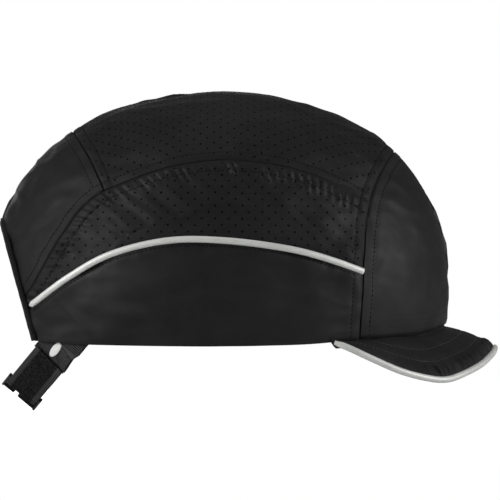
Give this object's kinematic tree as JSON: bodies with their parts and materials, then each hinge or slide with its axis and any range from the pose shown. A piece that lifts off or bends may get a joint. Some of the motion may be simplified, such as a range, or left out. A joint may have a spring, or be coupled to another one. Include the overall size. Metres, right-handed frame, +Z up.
{
  "type": "bump cap",
  "caption": "Short-brimmed cloth bump cap with perforated panels, reflective piping, a vented impact shell with foam pads, and a buckled rear strap.",
  "frame": {"origin": "middle of the head opening, in the plane of the hem", "axes": "+X forward to the brim, +Y to the wearer's left, +Z up"},
  "size_m": [0.2621, 0.1778, 0.168],
  "materials": {
    "cloth": "smooth black microfibre cloth",
    "perforated_cloth": "black cloth with punched holes",
    "reflective": "silver reflective tape over a cord",
    "binding": "folded black binding tape",
    "seam_tape": "woven black tape",
    "shell": "moulded black impact plastic",
    "foam": "black closed-cell foam",
    "sweatband": "black towelling",
    "board": "plain stiff board",
    "elastic": "ribbed black elastic webbing",
    "loop_tape": "fuzzy black loop tape",
    "thread": "white thread",
    "buckle": "moulded black plastic"
  },
  "bodies": {
    "cap": {"front_panel": "cloth", "top_panel": "perforated_cloth", "rear_panel": "cloth", "side_mesh_right": "perforated_cloth", "side_mesh_left": "perforated_cloth", "side_lower_right": "cloth", "side_lower_left": "cloth", "side_piping_right": "reflective", "side_piping_left": "reflective", "rear_opening_binding": "binding", "front_seam_tape": "seam_tape", "rear_seam_tape": "seam_tape", "side_seam_tape_right": "seam_tape", "side_seam_tape_left": "seam_tape", "impact_shell": "shell", "crown_pad": "foam", "front_pad": "foam", "rear_pad": "foam", "side_pad_right": "foam", "side_pad_left": "foam", "sweatband": "sweatband", "brim_board": "board", "brim_top_cover": "cloth", "brim_under_cover": "cloth", "brim_piping": "reflective", "strap_anchor_right": "elastic", "strap_anchor_left": "elastic"},
    "strap": {"elastic_right": "elastic", "elastic_left": "elastic", "bartack_right": "thread", "bartack_left": "thread", "base_tape": "loop_tape", "buckle_tape": "loop_tape", "slide_buckle": "buckle"},
    "tail": {"tail_tape": "loop_tape"}
  },
  "joints": [
    {"name": "strap_swing", "type": "hinge", "parent": "cap", "child": "strap", "pos_m": [-0.09386, 0, -0.00916], "axis": [0, 1, 0], "range_deg": [-50, 30]},
    {"name": "tail_peel", "type": "hinge", "parent": "strap", "child": "tail", "pos_m": [-0.10656, -0.0193, -0.0243], "axis": [0.766, 0, -0.6428], "range_deg": [0, 110]}
  ]
}
